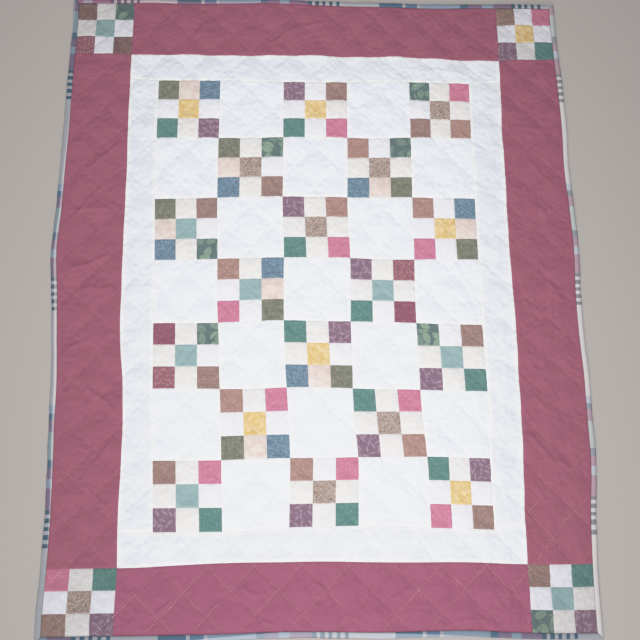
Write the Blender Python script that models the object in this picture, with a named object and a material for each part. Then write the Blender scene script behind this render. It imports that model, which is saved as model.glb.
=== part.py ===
"""A hand-quilted nine-patch throw quilt, laid flat.

Every panel of the quilt top is one closed solid of the quilt's full thickness. Its face carries
the puffed diamonds of the quilting, its rim stands straight up from the floor, and its underside
is flat. The cloth is first laid out on an even pattern, with u across the quilt and v up it from
the middle of the field, and then pulled to the uneven shape in which the sewn quilt lies.
"""
import math

import bmesh
import bpy
from mathutils import Vector

# Driving sizes, in metres
SQUARE = 0.0508
PATCHES_PER_SIDE = 3
COLUMNS = 5
ROWS = 7
INNER_BORDER = 0.0686
OUTER_BORDER = 0.1435
BINDING = 0.0125
PIECE_GAP = 0.0003

# Thickness of the three quilted layers, in metres
STITCHED = 0.0030
LOFT = 0.0036
CALM_EDGE = 0.014

# Thickness of the binding at parts of its width, from the cloth's edge outwards
BINDING_PROFILE = [
    {"across": 0.00, "thick": 0.0034},
    {"across": 0.35, "thick": 0.0050},
    {"across": 0.80, "thick": 0.0042},
    {"across": 1.00, "thick": 0.0022},
]

# Worked out from the driving sizes
BLOCK = PATCHES_PER_SIDE * SQUARE
FIELD_U = COLUMNS * BLOCK / 2
FIELD_V = ROWS * BLOCK / 2
INNER_U = FIELD_U + INNER_BORDER
INNER_V = FIELD_V + INNER_BORDER
OUTER_U = INNER_U + OUTER_BORDER
OUTER_V = INNER_V + OUTER_BORDER
GRID_PITCH = SQUARE / 2
NARROWEST_CELL = 0.45 * GRID_PITCH
# The quilting lines run corner to corner through the coloured squares, every other square
LINE_SPAN = 2 * SQUARE

MM = 0.001
PULL_PITCH = 2 * SQUARE

# How far the side seams lie off the even pattern, in mm to the right, from the top down
SIDE_PULL = [
    {"up": 7, "left_edge": 21, "left_seam": 11, "right_seam": 16, "right_edge": 10},
    {"up": 6, "left_edge": 17, "left_seam": 8, "right_seam": 14, "right_edge": 12},
    {"up": 5, "left_edge": 13, "left_seam": 6, "right_seam": 13, "right_edge": 15},
    {"up": 4, "left_edge": 10, "left_seam": 4, "right_seam": 9, "right_edge": 16},
    {"up": 3, "left_edge": 5, "left_seam": 4, "right_seam": 9, "right_edge": 13},
    {"up": 2, "left_edge": 1, "left_seam": 2, "right_seam": 7, "right_edge": 17},
    {"up": 1, "left_edge": -6, "left_seam": 0, "right_seam": 6, "right_edge": 19},
    {"up": 0, "left_edge": -1, "left_seam": -1, "right_seam": 7, "right_edge": 14},
    {"up": -1, "left_edge": 3, "left_seam": -1, "right_seam": 8, "right_edge": 13},
    {"up": -2, "left_edge": 7, "left_seam": 7, "right_seam": 6, "right_edge": 16},
    {"up": -3, "left_edge": 6, "left_seam": 10, "right_seam": 5, "right_edge": 15},
    {"up": -4, "left_edge": 7, "left_seam": 8, "right_seam": 2, "right_edge": 14},
    {"up": -5, "left_edge": 6, "left_seam": 5, "right_seam": -3, "right_edge": 4},
    {"up": -6, "left_edge": 2, "left_seam": 6, "right_seam": -5, "right_edge": -3},
    {"up": -7, "left_edge": -3, "left_seam": 2, "right_seam": -5, "right_edge": -5},
]

# How far the end seams lie off the even pattern, in mm upwards, from the left across
END_PULL = [
    {"over": -6, "bottom_edge": 4, "bottom_seam": -3, "top_seam": -5, "top_edge": -13},
    {"over": -5, "bottom_edge": 3, "bottom_seam": -4, "top_seam": -5, "top_edge": -12},
    {"over": -4, "bottom_edge": 1, "bottom_seam": -5, "top_seam": -7, "top_edge": -9},
    {"over": -3, "bottom_edge": 0, "bottom_seam": -2, "top_seam": -5, "top_edge": -10},
    {"over": -2, "bottom_edge": -1, "bottom_seam": 0, "top_seam": -6, "top_edge": -7},
    {"over": -1, "bottom_edge": 0, "bottom_seam": -1, "top_seam": -4, "top_edge": -4},
    {"over": 0, "bottom_edge": -3, "bottom_seam": -2, "top_seam": -3, "top_edge": -7},
    {"over": 1, "bottom_edge": -7, "bottom_seam": -6, "top_seam": -5, "top_edge": -9},
    {"over": 2, "bottom_edge": -8, "bottom_seam": -9, "top_seam": -3, "top_edge": -9},
    {"over": 3, "bottom_edge": -9, "bottom_seam": -11, "top_seam": -7, "top_edge": -11},
    {"over": 4, "bottom_edge": -16, "bottom_seam": -17, "top_seam": -11, "top_edge": -8},
    {"over": 5, "bottom_edge": -21, "bottom_seam": -21, "top_seam": -6, "top_edge": -6},
    {"over": 6, "bottom_edge": -23, "bottom_seam": -22, "top_seam": -4, "top_edge": -6},
]

# How each nine-patch block was sewn, in mm: how far its middle is off its even place, how much
# wider and taller it is, how far its top leans to the right and how far its right side rises
BLOCK_SHAPES = [
    {"row": 1, "column": 1, "right": 2, "up": -3, "wider": -5, "taller": -4, "lean": 3, "rise": 2},
    {"row": 1, "column": 3, "right": 2, "up": -1, "wider": 2, "taller": -9, "lean": 3, "rise": 1},
    {"row": 1, "column": 5, "right": 3, "up": 0, "wider": -4, "taller": -7, "lean": 3, "rise": -3},
    {"row": 2, "column": 2, "right": -3, "up": 1, "wider": 2, "taller": -4, "lean": 2, "rise": 4},
    {"row": 2, "column": 4, "right": 1, "up": 1, "wider": 2, "taller": -1, "lean": 3, "rise": 3},
    {"row": 3, "column": 1, "right": -1, "up": -1, "wider": -8, "taller": -3, "lean": -2, "rise": 3},
    {"row": 3, "column": 3, "right": -3, "up": 4, "wider": 1, "taller": -3, "lean": -4, "rise": 1},
    {"row": 3, "column": 5, "right": -1, "up": 0, "wider": -1, "taller": 0, "lean": 1, "rise": -2},
    {"row": 4, "column": 2, "right": -5, "up": 5, "wider": 0, "taller": -2, "lean": 0, "rise": 4},
    {"row": 4, "column": 4, "right": -3, "up": 1, "wider": -2, "taller": -2, "lean": 2, "rise": -4},
    {"row": 5, "column": 1, "right": 2, "up": 4, "wider": -5, "taller": -3, "lean": -1, "rise": -1},
    {"row": 5, "column": 3, "right": -4, "up": 5, "wider": 1, "taller": 1, "lean": -3, "rise": -4},
    {"row": 5, "column": 5, "right": -2, "up": -6, "wider": 1, "taller": 3, "lean": -3, "rise": -4},
    {"row": 6, "column": 2, "right": 3, "up": 1, "wider": -2, "taller": 3, "lean": -3, "rise": 2},
    {"row": 6, "column": 4, "right": -1, "up": -2, "wider": 2, "taller": 0, "lean": -9, "rise": -2},
    {"row": 7, "column": 1, "right": 8, "up": -2, "wider": -4, "taller": 0, "lean": -3, "rise": -2},
    {"row": 7, "column": 3, "right": 2, "up": 1, "wider": -1, "taller": -4, "lean": 5, "rise": 0},
    {"row": 7, "column": 5, "right": 1, "up": -7, "wider": -12, "taller": 3, "lean": 0, "rise": -7},
]
BLOCK_REACH = 0.55 * BLOCK

# Long soft folds: from one place to another in squares off the middle, and width and height in mm
FOLDS = [
    {"u0": -8.3, "v0": 4.5, "u1": -8.2, "v1": -7.5, "width": 9, "height": 2.2},
    {"u0": 8.3, "v0": 10.0, "u1": 8.4, "v1": -6.0, "width": 9, "height": 2.2},
    {"u0": 10.8, "v0": 3.0, "u1": 10.3, "v1": -3.5, "width": 11, "height": 1.8},
    {"u0": -10.6, "v0": -2.5, "u1": -10.1, "v1": 3.5, "width": 11, "height": 1.8},
    {"u0": 6.2, "v0": -5.2, "u1": 8.2, "v1": -8.4, "width": 10, "height": 1.8},
    {"u0": -7.5, "v0": 10.4, "u1": 8.0, "v1": 10.5, "width": 10, "height": 1.4},
]

# Cloth colours, as linear red, green and blue
WHITE = (0.83, 0.85, 0.90)
WINE = (0.33, 0.115, 0.17)
PLAID = (0.42, 0.50, 0.52)
# Each nine-patch block is told by the print of its middle square
MIDDLE_PRINTS = {
    "gold": (0.85, 0.58, 0.16),
    "tan": (0.38, 0.26, 0.19),
    "teal": (0.27, 0.48, 0.46),
}
FIELD_MIDDLES = [
    {"row": 1, "prints": ["gold", "gold", "tan"]},
    {"row": 2, "prints": ["tan", "tan"]},
    {"row": 3, "prints": ["teal", "tan", "gold"]},
    {"row": 4, "prints": ["teal", "teal"]},
    {"row": 5, "prints": ["teal", "gold", "teal"]},
    {"row": 6, "prints": ["gold", "tan"]},
    {"row": 7, "prints": ["teal", "tan", "gold"]},
]
CORNER_MIDDLES = [
    {"side": "left", "end": "top", "print": "teal"},
    {"side": "right", "end": "top", "print": "gold"},
    {"side": "left", "end": "bottom", "print": "tan"},
    {"side": "right", "end": "bottom", "print": "teal"},
]
CLOTH_ROUGHNESS = 0.9


def smooth_between(values, place):
    """A smooth curve through evenly spaced values, read at a place counted in spacings."""
    place = min(max(place, 0.0), len(values) - 1.001)
    k = int(place)
    t = place - k
    before = values[max(k - 1, 0)]
    here, there = values[k], values[k + 1]
    after = values[min(k + 2, len(values) - 1)]
    rise_in = (there - before) / 2
    rise_out = (after - here) / 2
    bend = 2 * (here - there) + rise_in + rise_out
    return here + t * (rise_in + t * (3 * (there - here) - 2 * rise_in - rise_out + t * bend))


def between(places, values, at):
    """A value on the straight lines through values at rising places, level past both ends."""
    if at <= places[0]:
        return values[0]
    for low, high, a, b in zip(places, places[1:], values, values[1:]):
        if at <= high:
            return a + (b - a) * (at - low) / (high - low)
    return values[-1]


def block_middle(row, column):
    """The middle of a block on the even pattern. Rows count from the top, columns from the left."""
    u = (column - (COLUMNS + 1) / 2) * BLOCK
    v = ((ROWS + 1) / 2 - row) * BLOCK
    return u, v


def sewn_off(u, v):
    """How far the field's blocks carry a point to the right and up, in mm, fading in the border."""
    total = right = up = 0.0
    for block in BLOCK_SHAPES:
        middle_u, middle_v = block_middle(block["row"], block["column"])
        over, above = (u - middle_u) / BLOCK, (v - middle_v) / BLOCK
        weight = math.exp(-(over**2 + above**2) * (BLOCK / BLOCK_REACH) ** 2)
        total += weight
        right += weight * (block["right"] + block["wider"] * over + block["lean"] * above)
        up += weight * (block["up"] + block["taller"] * above + block["rise"] * over)
    outside = max(abs(u) - FIELD_U, abs(v) - FIELD_V, 0.0) / INNER_BORDER
    fade = max(0.0, 1 - outside) / total
    return fade * right, fade * up


def pulled(u, v):
    """Where a point of the even pattern lies on the floor."""
    down = SIDE_PULL[0]["up"] - v / PULL_PITCH
    across = u / PULL_PITCH - END_PULL[0]["over"]
    side = {k: smooth_between([row[k] for row in SIDE_PULL], down) for k in SIDE_PULL[0]}
    end = {k: smooth_between([row[k] for row in END_PULL], across) for k in END_PULL[0]}
    x = u + MM * between(
        (-OUTER_U, -INNER_U, -FIELD_U, FIELD_U, INNER_U, OUTER_U),
        (side["left_edge"], side["left_seam"], 0, 0, side["right_seam"], side["right_edge"]),
        u,
    )
    y = v + MM * between(
        (-OUTER_V, -INNER_V, -FIELD_V, FIELD_V, INNER_V, OUTER_V),
        (end["bottom_edge"], end["bottom_seam"], 0, 0, end["top_seam"], end["top_edge"]),
        v,
    )
    right, up = sewn_off(u, v)
    x += MM * right
    y += MM * up
    return x, y


def puff(u, v):
    """How far up its diamond a point is: 0 on the quilting lines and 1 midway between them."""
    share = 1.0
    for along in (u + v, u - v):
        off_line = abs(math.remainder(along - LINE_SPAN / 2, LINE_SPAN)) / (LINE_SPAN / 2)
        share *= 1 - (1 - off_line) ** 2.2
    return share


def fold_height(u, v):
    """The height that the long soft folds add."""
    height = 0.0
    for fold in FOLDS:
        start = Vector((fold["u0"], fold["v0"])) * SQUARE
        run = Vector((fold["u1"], fold["v1"])) * SQUARE - start
        t = (Vector((u, v)) - start).dot(run) / run.length_squared
        ends = max(0.0, 1 - (2 * t - 1) ** 4)
        off = abs((Vector((u, v)) - start).cross(run)) / run.length
        height += fold["height"] * MM * ends * math.exp(-((off / (fold["width"] * MM)) ** 2))
    return height


def face_height(u, v):
    """The height of the quilt's face above the floor."""
    past_u = (abs(u) - OUTER_U) / BINDING
    past_v = (abs(v) - OUTER_V) / BINDING
    past = max(past_u, past_v)
    if past > 0:
        widths = [row["across"] for row in BINDING_PROFILE]
        return between(widths, [row["thick"] for row in BINDING_PROFILE], past)
    calm = min(1.0, -past * BINDING / CALM_EDGE)
    return STITCHED + calm * (LOFT * puff(u, v) + fold_height(u, v))


def grid_lines(low, high):
    """A panel's two edges and the half-square lines between them, less any too near an edge."""
    first = math.ceil((low + NARROWEST_CELL) / GRID_PITCH)
    last = math.floor((high - NARROWEST_CELL) / GRID_PITCH)
    return [low, *(k * GRID_PITCH for k in range(first, last + 1)), high]


def inset(lines):
    """The same lines with the two outer ones drawn in by half the gap between pieces."""
    return [lines[0] + PIECE_GAP / 2, *lines[1:-1], lines[-1] - PIECE_GAP / 2]


def split_along_quilting(bm):
    """Cuts each cell of a flat grid in two, along the direction of its nearest quilting line."""
    for face in list(bm.faces):
        middle = face.calc_center_median()
        corners = sorted(face.verts, key=lambda p: (p.co.x > middle.x, p.co.y > middle.y))
        low_left, high_left, low_right, high_right = corners
        turn = math.floor(middle.x / SQUARE) + math.floor(middle.y / SQUARE)
        pair = (low_left, high_right) if turn % 2 else (high_left, low_right)
        bmesh.utils.face_split(face, *pair)


def panel(name, across, up, place, colour, along_quilting=True):
    """One closed panel. place(u, v) gives the pattern point of each crossing of its lines."""
    bm = bmesh.new()
    columns, rows = len(across) - 1, len(up) - 1
    bmesh.ops.create_grid(bm, x_segments=columns, y_segments=rows, size=1.0)
    for vert in bm.verts:
        i = round((vert.co.x + 1) / 2 * columns)
        j = round((vert.co.y + 1) / 2 * rows)
        vert.co = (*place(across[i], up[j]), 0.0)
    if along_quilting:
        split_along_quilting(bm)
    for vert in bm.verts:
        u, v = vert.co.x, vert.co.y
        vert.co = (*pulled(u, v), face_height(u, v))
    rim = [edge for edge in bm.edges if edge.is_boundary]
    walls = bmesh.ops.extrude_edge_only(bm, edges=rim)["geom"]
    for vert in (item for item in walls if isinstance(item, bmesh.types.BMVert)):
        vert.co.z = 0.0
    foot = [item for item in walls if isinstance(item, bmesh.types.BMEdge) and item.is_boundary]
    bmesh.ops.edgeloop_fill(bm, edges=foot)
    bmesh.ops.recalc_face_normals(bm, faces=bm.faces)
    mesh = bpy.data.meshes.new(name)
    bm.to_mesh(mesh)
    bm.free()
    obj = bpy.data.objects.new(name, mesh)
    mesh.materials.append(cloth(name, colour))
    return obj


def cloth(name, colour):
    """A matt cotton for one piece."""
    material = bpy.data.materials.new(f"{name} cotton")
    material.use_nodes = True
    shader = material.node_tree.nodes["Principled BSDF"]
    shader.inputs["Base Color"].default_value = (*colour, 1.0)
    shader.inputs["Roughness"].default_value = CLOTH_ROUGHNESS
    shader.inputs["Metallic"].default_value = 0.0
    return material


def straight(u, v):
    """A pattern point as it is, for panels with square corners."""
    return u, v


def rectangle(name, low_u, high_u, low_v, high_v, colour):
    """A quilted panel with square corners."""
    across = inset(grid_lines(low_u, high_u))
    up = inset(grid_lines(low_v, high_v))
    return panel(name, across, up, straight, colour)


def field():
    """The nine-patch blocks and the plain squares between them."""
    pieces = []
    for line in FIELD_MIDDLES:
        row = line["row"]
        prints = list(line["prints"])
        for column in range(1, COLUMNS + 1):
            u, v = block_middle(row, column)
            sides = (u - BLOCK / 2, u + BLOCK / 2, v - BLOCK / 2, v + BLOCK / 2)
            if (row + column) % 2:
                pieces.append(rectangle(f"plain_square_{row}_{column}", *sides, WHITE))
            else:
                middle = MIDDLE_PRINTS[prints.pop(0)]
                pieces.append(rectangle(f"nine_patch_{row}_{column}", *sides, middle))
    return pieces


def inner_border():
    """The white strips: the sides end at the field's corners, the ends run the full width."""
    return [
        rectangle("inner_border_left", -INNER_U, -FIELD_U, -FIELD_V, FIELD_V, WHITE),
        rectangle("inner_border_right", FIELD_U, INNER_U, -FIELD_V, FIELD_V, WHITE),
        rectangle("inner_border_top", -INNER_U, INNER_U, FIELD_V, INNER_V, WHITE),
        rectangle("inner_border_bottom", -INNER_U, INNER_U, -INNER_V, -FIELD_V, WHITE),
    ]


def outer_border():
    """The wine strips and the nine-patch block in each corner between them."""
    pieces = [
        rectangle("outer_border_left", -OUTER_U, -INNER_U, -INNER_V, INNER_V, WINE),
        rectangle("outer_border_right", INNER_U, OUTER_U, -INNER_V, INNER_V, WINE),
        rectangle("outer_border_top", -INNER_U, INNER_U, INNER_V, OUTER_V, WINE),
        rectangle("outer_border_bottom", -INNER_U, INNER_U, -OUTER_V, -INNER_V, WINE),
    ]
    for corner in CORNER_MIDDLES:
        low_u, high_u = (-OUTER_U, -INNER_U) if corner["side"] == "left" else (INNER_U, OUTER_U)
        low_v, high_v = (INNER_V, OUTER_V) if corner["end"] == "top" else (-OUTER_V, -INNER_V)
        name = f"corner_patch_{corner['end']}_{corner['side']}"
        colour = MIDDLE_PRINTS[corner["print"]]
        pieces.append(rectangle(name, low_u, high_u, low_v, high_v, colour))
    return pieces


def edge_lines(outer, inner):
    """The lines along a whole side, which meet those of the two corners and the strip between."""
    corner = grid_lines(inner, outer)
    return [*(-v for v in reversed(corner)), *grid_lines(-inner, inner)[1:-1], *corner]


def binding():
    """The folded strips round the edge, mitred where they meet."""
    first = PIECE_GAP / 2 / BINDING
    widths = [first, *(row["across"] for row in BINDING_PROFILE[1:])]
    mitre_gap = PIECE_GAP * math.sqrt(0.5)

    def strip(name, half_width, lines, turned, sign):
        half_length = lines[-1]

        def place(share, along):
            out = half_width + share * BINDING
            stretch = (half_length + share * BINDING - mitre_gap) / half_length
            along = along * stretch if abs(along) == half_length else along
            return (sign * out, along) if turned else (along, sign * out)

        return panel(name, widths, lines, place, PLAID, along_quilting=False)

    up = edge_lines(OUTER_V, INNER_V)
    across = edge_lines(OUTER_U, INNER_U)
    return [
        strip("binding_left", OUTER_U, up, True, -1),
        strip("binding_right", OUTER_U, up, True, 1),
        strip("binding_top", OUTER_V, across, False, 1),
        strip("binding_bottom", OUTER_V, across, False, -1),
    ]


def centre_on_origin(pieces):
    """Moves every mesh so that the quilt's box stands centred on the origin."""
    corners = [vert.co for piece in pieces for vert in piece.data.vertices]
    middle_x = (min(p.x for p in corners) + max(p.x for p in corners)) / 2
    middle_y = (min(p.y for p in corners) + max(p.y for p in corners)) / 2
    for piece in pieces:
        for vert in piece.data.vertices:
            vert.co.x -= middle_x
            vert.co.y -= middle_y


def build():
    """Clears the file and makes the quilt in a collection of its own."""
    for obj in list(bpy.data.objects):
        bpy.data.objects.remove(obj)
    pieces = [*field(), *inner_border(), *outer_border(), *binding()]
    centre_on_origin(pieces)
    quilt = bpy.data.collections.new("patchwork quilt")
    bpy.context.scene.collection.children.link(quilt)
    for piece in pieces:
        quilt.objects.link(piece)


build()
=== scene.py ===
# %% [markdown]
# # A hand-quilted nine-patch throw
# A quilt top is small cut cloths sewn edge to edge, laid over a filling and a back, and held
# together by lines of running stitch. It lies flat here, so its look comes from three things:
# how unevenly the pieces were sewn, how the stitching draws the face down into valleys, and the
# cloths themselves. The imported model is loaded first, because every piece goes where it says.

import math
import zlib

import bmesh
import bpy
import numpy as np
from mathutils import Matrix


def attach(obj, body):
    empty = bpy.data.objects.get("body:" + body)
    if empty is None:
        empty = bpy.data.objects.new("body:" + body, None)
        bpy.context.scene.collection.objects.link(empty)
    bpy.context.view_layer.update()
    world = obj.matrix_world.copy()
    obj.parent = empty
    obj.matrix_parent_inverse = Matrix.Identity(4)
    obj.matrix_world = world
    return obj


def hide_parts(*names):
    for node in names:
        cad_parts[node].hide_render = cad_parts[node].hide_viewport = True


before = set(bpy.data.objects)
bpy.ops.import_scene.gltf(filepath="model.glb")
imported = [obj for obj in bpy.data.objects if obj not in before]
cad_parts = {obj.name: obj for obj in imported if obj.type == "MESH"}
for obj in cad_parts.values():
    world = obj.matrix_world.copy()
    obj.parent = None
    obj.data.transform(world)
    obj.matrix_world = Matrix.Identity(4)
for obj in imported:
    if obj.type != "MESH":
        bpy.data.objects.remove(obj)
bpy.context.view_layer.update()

# %% Helpers for tables, meshes and objects
def table(columns, rows):
    """Rows of values as records, under the names of their columns."""
    return [dict(zip(columns.split(), row)) for row in rows]


def mesh_from(bm, name):
    """A bmesh as a mesh, once nothing more is done to it."""
    mesh = bpy.data.meshes.new(name)
    bm.to_mesh(mesh)
    bm.free()
    return mesh


def grid_mesh(name, columns, rows, size=1.0):
    """A flat grid that reaches size to each side of the origin."""
    bm = bmesh.new()
    bmesh.ops.create_grid(bm, x_segments=columns, y_segments=rows, size=size)
    return mesh_from(bm, name)


def place_object(name, data):
    """A new object at the origin of the scene."""
    thing = bpy.data.objects.new(name, data)
    bpy.context.scene.collection.objects.link(thing)
    return thing


def numbers(items, label, width=1):
    """One property of many mesh elements as an array."""
    kind = np.int32 if label in ("vertex_index", "loop_total") else np.float32
    values = np.empty(len(items) * width, kind)
    items.foreach_get(label, values)
    return values.reshape(-1, width) if width > 1 else values


def write_numbers(items, label, *columns):
    """Columns of values written to one property of many mesh elements."""
    items.foreach_set(label, np.column_stack(columns).astype(np.float32).ravel())


def point_values(mesh, label, values):
    """A named value for each vertex."""
    write_numbers(mesh.attributes.new(label, "FLOAT", "POINT").data, "value", values)


def cloth_map(mesh, u, v):
    """The UV map that the cloths read: each corner's place on the cloth, in metres."""
    write_numbers(mesh.uv_layers.new(name="Cloth").data, "uv", u, v)

# %% [markdown]
# ## Driving sizes
# Everything on the quilt is counted in finished squares of two inches. The cloth is laid out on
# an even pattern, u to the right and v up from the middle of the field, as a maker would chart
# it. Only at the end is a point of the chart moved to where the sewn quilt really has it.

# %% Sizes of the chart, in metres
MM = 0.001
INCH = 0.0254
SQUARE = 2 * INCH
PATCHES_PER_SIDE = 3
COLUMNS, ROWS = 5, 7
INNER_BORDER = 0.0686
OUTER_BORDER = 0.1435
BINDING = 0.0125
SEAM_ALLOWANCE = 0.25 * INCH

BLOCK = PATCHES_PER_SIDE * SQUARE
FIELD_U, FIELD_V = COLUMNS * BLOCK / 2, ROWS * BLOCK / 2
INNER_U, INNER_V = FIELD_U + INNER_BORDER, FIELD_V + INNER_BORDER
OUTER_U, OUTER_V = INNER_U + OUTER_BORDER, INNER_V + OUTER_BORDER
print("chart is", round(2 * (OUTER_U + BINDING), 3), "by", round(2 * (OUTER_V + BINDING), 3), "m")

# %% [markdown]
# ## How unevenly it was sewn
# No seam of a hand-made quilt is straight. Three short tables hold how far the long seams and
# the blocks lie off the chart. A smooth curve runs through each column, so that the same few
# numbers shape every piece, and neighbours that share a seam always agree on where it is.

# %% Where the long seams lie, in mm off the chart
PULL_PITCH = 2 * SQUARE
SIDE_PULL_FROM = 7
SIDE_PULL = {
    "left_edge": [21, 17, 13, 10, 5, 1, -6, -1, 3, 7, 6, 7, 6, 2, -3],
    "left_seam": [11, 8, 6, 4, 4, 2, 0, -1, -1, 7, 10, 8, 5, 6, 2],
    "right_seam": [16, 14, 13, 9, 9, 7, 6, 7, 8, 6, 5, 2, -3, -5, -5],
    "right_edge": [10, 12, 15, 16, 13, 17, 19, 14, 13, 16, 15, 14, 4, -3, -5],
}
END_PULL_FROM = -6
END_PULL = {
    "bottom_edge": [4, 3, 1, 0, -1, 0, -3, -7, -8, -9, -16, -21, -23],
    "bottom_seam": [-3, -4, -5, -2, 0, -1, -2, -6, -9, -11, -17, -21, -22],
    "top_seam": [-5, -5, -7, -5, -6, -4, -3, -5, -3, -7, -11, -6, -4],
    "top_edge": [-13, -12, -9, -10, -7, -4, -7, -9, -9, -11, -8, -6, -6],
}

# %% How each nine-patch block was sewn, in mm off the chart
BLOCK_SHAPES = table("row column right up wider taller lean rise", [
    (1, 1, 2, -3, -5, -4, 3, 2),
    (1, 3, 2, -1, 2, -9, 3, 1),
    (1, 5, 3, 0, -4, -7, 3, -3),
    (2, 2, -3, 1, 2, -4, 2, 4),
    (2, 4, 1, 1, 2, -1, 3, 3),
    (3, 1, -1, -1, -8, -3, -2, 3),
    (3, 3, -3, 4, 1, -3, -4, 1),
    (3, 5, -1, 0, -1, 0, 1, -2),
    (4, 2, -5, 5, 0, -2, 0, 4),
    (4, 4, -3, 1, -2, -2, 2, -4),
    (5, 1, 2, 4, -5, -3, -1, -1),
    (5, 3, -4, 5, 1, 1, -3, -4),
    (5, 5, -2, -6, 1, 3, -3, -4),
    (6, 2, 3, 1, -2, 3, -3, 2),
    (6, 4, -1, -2, 2, 0, -9, -2),
    (7, 1, 8, -2, -4, 0, -3, -2),
    (7, 3, 2, 1, -1, -4, 5, 0),
    (7, 5, 1, -7, -12, 3, 0, -7),
])
BLOCK_REACH = 0.55


def block_middle(row, column):
    """The middle of a block on the chart. Rows count from the top, columns from the left."""
    return (column - (COLUMNS + 1) / 2) * BLOCK, ((ROWS + 1) / 2 - row) * BLOCK

# %% From the chart to the floor
def smooth_through(values, place):
    """A smooth curve through evenly spaced values, read at places counted in spacings."""
    values = np.array(values, float)
    place = np.clip(place, 0.0, len(values) - 1.001)
    k = place.astype(int)
    t = place - k
    before, here = values[np.maximum(k - 1, 0)], values[k]
    there, after = values[k + 1], values[np.minimum(k + 2, len(values) - 1)]
    rise_in, rise_out = (there - before) / 2, (after - here) / 2
    bend = 2 * (here - there) + rise_in + rise_out
    return here + t * (rise_in + t * (3 * (there - here) - 2 * rise_in - rise_out + t * bend))


def along_straights(places, values, at):
    """Values on the straight lines between rising places, level past both ends."""
    result = values[0] + 0.0 * at
    for low, high, a, b in zip(places, places[1:], values, values[1:]):
        result = result + (b - a) * np.clip((at - low) / (high - low), 0.0, 1.0)
    return result


def sewn_off(u, v):
    """How far the blocks carry a point right and up, in mm, fading out in the inner border."""
    total = right = up = 0.0
    for block in BLOCK_SHAPES:
        middle_u, middle_v = block_middle(block["row"], block["column"])
        over, above = (u - middle_u) / BLOCK, (v - middle_v) / BLOCK
        weight = np.exp(-(over**2 + above**2) / BLOCK_REACH**2)
        total = total + weight
        right = right + weight * (block["right"] + block["wider"] * over + block["lean"] * above)
        up = up + weight * (block["up"] + block["taller"] * above + block["rise"] * over)
    outside = np.maximum(np.maximum(np.abs(u) - FIELD_U, np.abs(v) - FIELD_V), 0) / INNER_BORDER
    fade = np.clip(1 - outside, 0, 1) / total
    return fade * right, fade * up


def pulled(u, v):
    """Where points of the chart lie on the floor, before the quilt is centred."""
    down, over = SIDE_PULL_FROM - v / PULL_PITCH, u / PULL_PITCH - END_PULL_FROM
    left, left_in, right_in, right = (smooth_through(line, down) for line in SIDE_PULL.values())
    low, low_in, high_in, high = (smooth_through(line, over) for line in END_PULL.values())
    seams_u = (-OUTER_U, -INNER_U, -FIELD_U, FIELD_U, INNER_U, OUTER_U)
    seams_v = (-OUTER_V, -INNER_V, -FIELD_V, FIELD_V, INNER_V, OUTER_V)
    sewn_right, sewn_up = sewn_off(u, v)
    x = u + MM * (sewn_right + along_straights(seams_u, (left, left_in, 0, 0, right_in, right), u))
    y = v + MM * (sewn_up + along_straights(seams_v, (low, low_in, 0, 0, high_in, high), v))
    return x, y

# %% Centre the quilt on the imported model
rim_u = np.arange(-OUTER_U - BINDING, OUTER_U + BINDING, SQUARE / 2)
rim_v = np.arange(-OUTER_V - BINDING, OUTER_V + BINDING, SQUARE / 2)
side_x = [pulled(sign * (OUTER_U + BINDING) + 0 * rim_v, rim_v)[0] for sign in (-1, 1)]
end_y = [pulled(rim_u, sign * (OUTER_V + BINDING) + 0 * rim_u)[1] for sign in (-1, 1)]
MIDDLE_X = (side_x[0].min() + side_x[1].max()) / 2
MIDDLE_Y = (end_y[0].min() + end_y[1].max()) / 2


def on_floor(u, v):
    """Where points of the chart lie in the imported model's frame."""
    x, y = pulled(u, v)
    return x - MIDDLE_X, y - MIDDLE_Y


low = np.ravel(on_floor(*np.full((2, 1), -BLOCK / 2)))
print("the chart puts the middle square's low corner at", np.round(low, 4))

# %% [markdown]
# ## Camera, floor and light
# The photograph looks down from the foot end, almost straight. The camera's place and tilt were
# worked out from the squares. A long soft light hangs over the quilt and makes its middle the
# brightest. A far one, low beyond the foot end, gives the valleys their shade, and a pale sky
# fills the rest. The curve at the end rolls the whites off, as a compact camera does.

# %% Camera
CAMERA_PLACE = (-0.1457, -0.5349, 2.0082)
CAMERA_TILT = (13.15, -3.89, -1.3)
CAMERA_LENS = 50.61

camera_data = bpy.data.cameras.new("camera")
camera_data.lens = CAMERA_LENS
camera_data.sensor_width = 36.0
camera = place_object("camera", camera_data)
camera.location = (CAMERA_PLACE[0] - MIDDLE_X, CAMERA_PLACE[1] - MIDDLE_Y, CAMERA_PLACE[2])
camera.rotation_euler = [math.radians(a) for a in CAMERA_TILT]
bpy.context.scene.camera = camera

# %% Light and floor
LIGHTS = table("name place size power", [
    ("top light", (0.02, -0.25, 1.45), (0.6, 2.3), 26.0),
    ("far light", (-2.4, -7.5, 2.3), (1.6, 1.6), 335),
])
SKY_COLOUR = (0.96, 0.98, 1.0, 1.0)
SKY_STRENGTH = 0.35
FLOOR_COLOUR = (172, 165, 161)
FLOOR_REACH = 4.0
FLOOR_DROP = 0.0004
FILM_WHITE = 1.25
FILM_CURVE = [(0.0, 0.0), (0.2, 0.25), (0.4, 0.485), (0.6, 0.68), (0.8, 0.835), (1.0, 0.90)]


def linear(colour):
    """A display colour of 0 to 255, none near black, as the opaque one that a shader takes."""
    return [((c / 255 + 0.055) / 1.055) ** 2.4 for c in colour] + [1.0]


def blank_material(name):
    """A material with nothing but its Principled shader."""
    material = bpy.data.materials.new(name)
    material.use_nodes = True
    return material, material.node_tree, material.node_tree.nodes["Principled BSDF"]


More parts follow.
